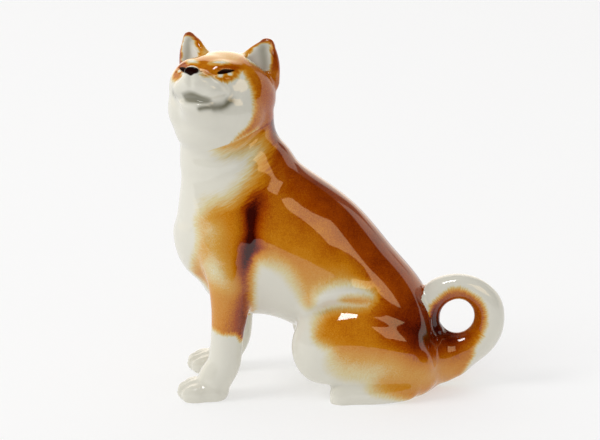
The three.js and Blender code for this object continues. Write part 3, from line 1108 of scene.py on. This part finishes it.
class FigurineSettings(bpy.types.PropertyGroup):
    """The sizes and colours that a user would change."""

    skin: FloatProperty(
        name="Skin fineness", description="Distance between the points of the modelled skin",
        default=SKIN * MM, min=0.0003, max=0.002, unit="LENGTH", precision=5,
    )
    hair_reach: FloatProperty(
        name="Hair reach", description="How far brush strokes run over the edge of the coat",
        default=1.2 * MM, min=0.0, max=0.005, unit="LENGTH", precision=5,
    )
    porcelain: colour_property("Porcelain", "Bare white body under the glaze", "#DDDACD")
    cream: colour_property("Cream", "The thinnest film of colour", "#D8C99A")
    tan: colour_property("Tan", "A thin coat of iron oxide", "#D29C44")
    ochre: colour_property("Ochre", "An even coat of iron oxide", "#C87C0E")
    rust: colour_property("Rust", "A heavy coat of iron oxide", "#A04400")
    # umber and burnt umber show where the coat is deepest, such as along the groove behind the shoulder
    umber: colour_property("Umber", "Colour gathered in a hollow", "#6C1C00")
    burnt: colour_property("Burnt umber", "The deepest hollows", "#380500")
    ink: colour_property("Ink", "The eyes and nose", "#1A0704")
    # the colour of the painted shade in the mouth, its crease and the ears' cups
    painted_shade: colour_property("Grey wash", "The mouth and the ears' cups", "#75725E")
    paper: colour_property("Paper", "The studio's white sweep", "#F4F4F4")


class FigurineStep(bpy.types.Operator):
    """A step of making the figurine."""

    bl_options = {"REGISTER", "UNDO"}


class FIGURINE_OT_clay(FigurineStep):
    """Model the whole figure in one skin"""

    bl_idname = "figurine.clay"
    bl_label = "Model the Figure"

    def execute(self, context):
        remember_skin(figure_clay(context.scene.figurine.skin / MM))
        return {"FINISHED"}


class FIGURINE_OT_ears(FigurineStep):
    """Cut, paint and glaze the two ears"""

    bl_idname = "figurine.ears"
    bl_label = "Ears"

    def execute(self, context):
        for side, name in SIDES:
            lift = ear_lift(side)
            foot = in_head(1, (10.6 + lift / 2) * side, 12 + lift)
            out = HEAD[:3, :3] @ np.array((0, -0.62 * side, 0.78))
            cut_casting(name + "_ear", block_above(foot, out, 26))
        return {"FINISHED"}


class FIGURINE_OT_head(FigurineStep):
    """Cut, paint and glaze the head"""

    bl_idname = "figurine.head"
    bl_label = "Head"

    def execute(self, context):
        cut_casting("head", block_above(*NECK_SEAM, 90))
        return {"FINISHED"}


class FIGURINE_OT_forelegs(FigurineStep):
    """Cut, paint and glaze the two forelegs"""

    bl_idname = "figurine.forelegs"
    bl_label = "Forelegs"

    def execute(self, context):
        for side, name in SIDES:
            low, high = y_range(side, 0.4, 40)
            cut_casting(name + "_foreleg", block((-70, low, -5), (-24, high, 29)))
        return {"FINISHED"}


class FIGURINE_OT_tail(FigurineStep):
    """Cut, paint and glaze the tail"""

    bl_idname = "figurine.tail"
    bl_label = "Tail"

    def execute(self, context):
        cut_casting("tail", block((31, -40, -5), (70, 40, 60)))
        return {"FINISHED"}


class FIGURINE_OT_hind_legs(FigurineStep):
    """Cut, paint and glaze the two hind legs"""

    bl_idname = "figurine.hind_legs"
    bl_label = "Hind Legs"

    def execute(self, context):
        for side, name in SIDES:
            low, high = y_range(side, 10.5, 40)
            cut_casting(name + "_hind_leg", block((-22, low, -5), (32, high, 30)))
        return {"FINISHED"}


class FIGURINE_OT_torso(FigurineStep):
    """Drill the vent hole in what is left of the clay, the torso, then paint and glaze it"""

    bl_idname = "figurine.torso"
    bl_label = "Torso"

    def execute(self, context):
        torso = remaining_clay()
        torso.name = "torso_casting"
        torso.data.name = "torso_casting"
        back, radius, depth = VENT
        foot = (to_frame((back, 0, 0)) * MM).tolist()
        bpy.ops.mesh.primitive_cylinder_add(
            vertices=48, radius=radius * MM, depth=depth * 2 * MM, location=foot
        )
        drill = bpy.context.object
        bpy.ops.object.transform_apply(location=True, rotation=True, scale=True)
        boolean(torso, drill, "DIFFERENCE")
        drop(drill)
        dress(torso, "torso")
        return {"FINISHED"}


class FIGURINE_OT_studio(FigurineStep):
    """Set the table-top studio: a white sweep, three softboxes and the camera"""

    bl_idname = "figurine.studio"
    bl_label = "Studio"

    def execute(self, context):
        settings = context.scene.figurine
        sweep(settings)
        camera(context.scene)
        # name, direction round from the front and up, in degrees, width and height in metres, brightness
        softbox("overhead_box", -3, 66, 0.9, 0.6, 18, part="glossy")
        softbox("right_box", 46, 30, 1.4, 1.15, 3.4, part="glossy", tint="#FFDCA6")
        softbox("left_key", -72, 46, 1.1, 1.1, 7.4, part="diffuse")
        surroundings(context.scene)
        context.scene.view_settings.view_transform = "Standard"
        return {"FINISHED"}


PAPER_SHADE = 0.5  # the share of the paper's white that the lights give it
PAPER_GLOW = 0.56  # and what it glows with, lit from below


def sweep(settings):
    """A sheet of matt white paper, lit from below as well, that the figure stands on. It stops short of
    the camera, so that the glaze mirrors a dark room over a bright table."""
    deselect()
    bpy.ops.mesh.primitive_plane_add(size=2, location=(0, 0.58, 0))
    floor = bpy.context.object
    floor.name = "paper_sweep"
    floor.data.name = "paper_sweep"
    bpy.ops.object.transform_apply(location=True, rotation=True, scale=True)
    material, tree = new_material("matt_paper")
    place = add_node(tree, "ShaderNodeTexCoord").outputs["Object"]
    # fibres a millimetre long
    fibres = add_node(tree, "ShaderNodeTexNoise", {"Vector": place, "Scale": 900.0, "Detail": 2.0})
    bump = add_node(tree, "ShaderNodeBump", {"Height": fibres, "Strength": 0.05, "Distance": 0.0001})
    shader = add_node(tree, "ShaderNodeBsdfPrincipled", {
        "Base Color": (*[part * PAPER_SHADE for part in settings.paper], 1), "Roughness": 0.9, "IOR": 1.4,
        "Emission Color": (*settings.paper, 1), "Emission Strength": PAPER_GLOW, "Normal": bump,
    })
    add_node(tree, "ShaderNodeOutputMaterial", {"Surface": shader})
    floor.data.materials.append(material)


def camera(scene):
    """Looks down a little on the figure's left side, from far enough to keep its shape true."""
    lens = bpy.data.cameras.new("camera")
    lens.sensor_width = SENSOR_WIDTH
    lens.lens = CAMERA_AWAY / (VIEW_WIDTH * MM) * SENSOR_WIDTH
    rig = bpy.data.objects.new("camera", lens)
    scene.collection.objects.link(rig)
    tilt = math.radians(CAMERA_ABOVE)
    aim = Vector(to_frame(CAMERA_AIM)) * MM
    rig.location = aim + CAMERA_AWAY * Vector((0, -math.cos(tilt), math.sin(tilt)))
    rig.rotation_euler = (math.pi / 2 - tilt, 0, 0)
    scene.camera = rig


SOFTBOX_AWAY = 3.0  # metres
FIGURE_MIDDLE = Vector((0, 0, 0.05))


def softbox(name, round_from_front, above, width, height, brightness, part, tint="#FFFFFF"):
    """A softbox that only the glaze mirrors or that only lights the surfaces."""
    data = bpy.data.lights.new(name, "AREA")
    data.shape = "RECTANGLE"
    data.size = width
    data.size_y = height
    data.energy = brightness * math.pi * width * height
    data.color = linear(tint)
    lamp = bpy.data.objects.new(name, data)
    bpy.context.scene.collection.objects.link(lamp)
    turn, rise = math.radians(round_from_front), math.radians(above)
    away = Vector((math.sin(turn) * math.cos(rise), -math.cos(turn) * math.cos(rise), math.sin(rise)))
    lamp.location = away * SOFTBOX_AWAY + FIGURE_MIDDLE
    lamp.rotation_euler = (-away).to_track_quat("-Z", "Y").to_euler()
    lamp.visible_glossy = part == "glossy"
    lamp.visible_diffuse = part == "diffuse"


def surroundings(scene):
    """A bright wall behind and a dark room before the table. What the camera sees past the paper is as
    white as the paper."""
    world = bpy.data.worlds.new("studio_room")
    scene.world = world
    world.use_nodes = True
    tree = world.node_tree
    tree.nodes.clear()
    direction = add_node(tree, "ShaderNodeTexCoord").outputs["Generated"]
    x, y, z = add_node(tree, "ShaderNodeSeparateXYZ", {"Vector": direction}).outputs
    # how far round from the front, over the top, to the back. Behind, what is below mirrors what is above
    under = add_node(tree, "ShaderNodeMath", {0: z, 1: -1.0}, operation="MULTIPLY")
    front = add_node(tree, "ShaderNodeMath", {0: y, 1: -1.0}, operation="MULTIPLY")
    below = add_node(tree, "ShaderNodeMath", {0: under, 1: y}, operation="MINIMUM")
    height = add_node(tree, "ShaderNodeMath", {0: z, 1: below}, operation="MAXIMUM")
    over = add_node(tree, "ShaderNodeMath", {0: height, 1: front}, operation="ARCTAN2")
    aside = add_node(tree, "ShaderNodeMath", {0: x}, operation="ABSOLUTE")
    # each follows a direction, between two places, from one brightness to another
    spans = {
        # the wall, brightest straight behind the figure
        "wall": (over, math.radians(126), math.radians(130), 0.02, 1.0),
        "wall_middle": (aside, 0.22, 0.5, 2.2, 1.2),
        # a dark upright, such as a door's, beside it
        "upright_near": (aside, 0.48, 0.51, 0.0, 0.8),
        "upright_far": (aside, 0.64, 0.67, 1.0, 0.0),
        "upright_foot": (over, math.radians(162), math.radians(165), 1.0, 0.0),
        # what lights the surfaces, more from the left and from behind
        "glow_left": (x, -1.0, 1.0, 0.23, 0.03),
        "glow_behind": (y, -1.0, 1.0, 0.52, 0.84),
        "glow_low": (z, 0.0, 1.0, 0.04, -0.14),
    }
    for name, (value, low, high, first, last) in spans.items():
        spans[name] = add_node(
            tree, "ShaderNodeMapRange",
            {"Value": value, "From Min": low, "From Max": high, "To Min": first, "To Max": last},
        )
    joined = {}
    for name, operation, parts in (
        ("upright", "MULTIPLY", ("upright_near", "upright_far", "upright_foot")),
        ("wall", "MULTIPLY", ("wall_middle", "wall")),
        ("glow", "ADD", ("glow_left", "glow_behind", "glow_low")),
    ):
        whole = spans[parts[0]]
        for part in parts[1:]:
            whole = add_node(tree, "ShaderNodeMath", {0: whole, 1: spans[part]}, operation=operation)
        joined[name] = whole
    beside = add_node(tree, "ShaderNodeMath", {0: 1.0, 1: joined["upright"]}, operation="SUBTRACT")
    wall = add_node(tree, "ShaderNodeMath", {0: joined["wall"], 1: beside}, operation="MULTIPLY")
    room = add_node(tree, "ShaderNodeBackground", {"Color": (*linear("#FFF3E2"), 1), "Strength": wall})
    glow = add_node(tree, "ShaderNodeBackground", {"Color": (1, 1, 1, 1), "Strength": joined["glow"]})
    white = add_node(tree, "ShaderNodeBackground", {"Color": (*linear("#F9F9F9"), 1), "Strength": 1.0})
    path = add_node(tree, "ShaderNodeLightPath").outputs
    mirrored = add_node(tree, "ShaderNodeMixShader", {0: path["Is Glossy Ray"], 1: glow, 2: room})
    both = add_node(tree, "ShaderNodeMixShader", {0: path["Is Camera Ray"], 1: mirrored, 2: white})
    add_node(tree, "ShaderNodeOutputWorld", {"Surface": both})


STEPS = (
    FIGURINE_OT_clay, FIGURINE_OT_ears, FIGURINE_OT_head, FIGURINE_OT_forelegs, FIGURINE_OT_tail,
    FIGURINE_OT_hind_legs, FIGURINE_OT_torso, FIGURINE_OT_studio,
)


class FIGURINE_PT_panel(bpy.types.Panel):
    """Lists the steps of making the figurine"""

    bl_idname = "FIGURINE_PT_panel"
    bl_label = "Porcelain Figurine"
    bl_space_type = "VIEW_3D"
    bl_region_type = "UI"
    bl_category = "Figurine"

    def draw(self, context):
        for name in FigurineSettings.__annotations__:
            self.layout.prop(context.scene.figurine, name)
        for step in STEPS:
            self.layout.operator(step.bl_idname)


CLASSES = (FigurineSettings, *STEPS, FIGURINE_PT_panel)


def register():
    for cls in CLASSES:
        bpy.utils.register_class(cls)
    bpy.types.Scene.figurine = PointerProperty(type=FigurineSettings)


def unregister():
    del bpy.types.Scene.figurine
    for cls in reversed(CLASSES):
        bpy.utils.unregister_class(cls)


def main():
    register()
    for step in STEPS:
        group, name = step.bl_idname.split(".")
        getattr(getattr(bpy.ops, group), name)()


if __name__ == "__main__":
    main()
